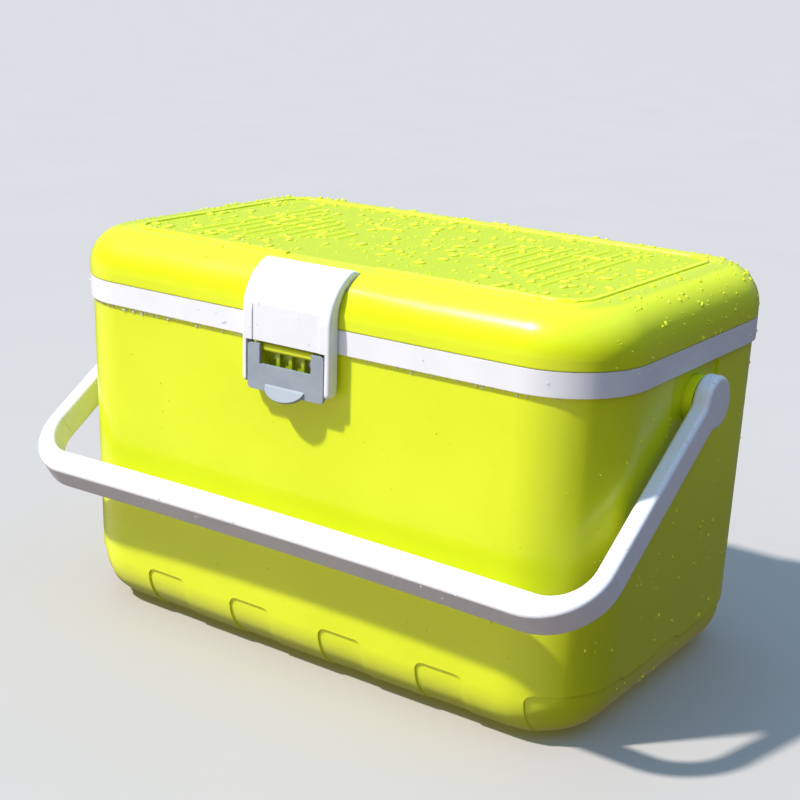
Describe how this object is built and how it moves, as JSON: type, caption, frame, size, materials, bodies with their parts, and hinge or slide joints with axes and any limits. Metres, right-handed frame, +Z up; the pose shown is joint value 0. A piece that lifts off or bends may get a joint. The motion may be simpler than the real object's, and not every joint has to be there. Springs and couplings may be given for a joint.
{
  "type": "insulated bait box",
  "caption": "Insulated bait box: foam filled tub and hinged lid with rounded corners, white band, front latch with pull lever, and a swinging bail handle.",
  "frame": {"origin": "middle of the flat base that the box stands on", "axes": "+X along the box's length to the right, -Y to the front with the latch, +Z up"},
  "size_m": [0.3522, 0.2313, 0.2093],
  "materials": {
    "lime_shell": "gloss",
    "lime_lid": "gloss",
    "white_trim": "gloss",
    "white_latch": "gloss",
    "white_handle": "satin",
    "white_liner": "satin",
    "grey_lever": "satin",
    "foam": "matte",
    "gasket_rubber": "matte",
    "bush_plastic": "satin",
    "screw_steel": "brushed",
    "pin_steel": "polished"
  },
  "bodies": {
    "tub": {"outer_tub": "lime_shell", "tub_insulation": "foam", "inner_liner": "white_liner", "rim_band": "white_trim", "latch_strike": "lime_shell", "strike_screws": "screw_steel", "pivot_bush_left": "bush_plastic", "pivot_bush_right": "bush_plastic", "hinge_block_left": "white_trim", "hinge_block_right": "white_trim", "hinge_screws": "screw_steel", "hinge_pin_left": "pin_steel", "hinge_pin_right": "pin_steel"},
    "lid": {"lid_shell": "lime_lid", "lid_liner": "white_liner", "lid_insulation": "foam", "lid_gasket": "gasket_rubber", "latch_pin": "pin_steel", "lid_knuckle_left": "lime_lid", "lid_knuckle_right": "lime_lid"},
    "latch": {"latch_cover": "white_latch", "lever_pins": "pin_steel"},
    "lever": {"latch_lever": "grey_lever"},
    "handle": {"carry_handle": "white_handle", "handle_arm_left": "white_handle", "handle_arm_right": "white_handle", "handle_stub_left": "white_handle", "handle_stub_right": "white_handle", "retaining_clip_left": "screw_steel", "retaining_clip_right": "screw_steel"}
  },
  "joints": [
    {"name": "lid_hinge", "type": "hinge", "parent": "tub", "child": "lid", "pos_m": [0, 0.104, 0.18315], "axis": [-1, 0, 0], "range_deg": [0, 100]},
    {"name": "latch_swing", "type": "hinge", "parent": "lid", "child": "latch", "pos_m": [0, -0.0885, 0.20292], "axis": [-1, 0, 0], "range_deg": [0, 75]},
    {"name": "lever_pull", "type": "hinge", "parent": "latch", "child": "lever", "pos_m": [0, -0.1032, 0.1675], "axis": [-1, 0, 0], "range_deg": [0, 25]},
    {"name": "handle_swing", "type": "hinge", "parent": "tub", "child": "handle", "pos_m": [0, 0, 0.155], "axis": [-1, 0, 0], "range_deg": [0, 246]}
  ]
}
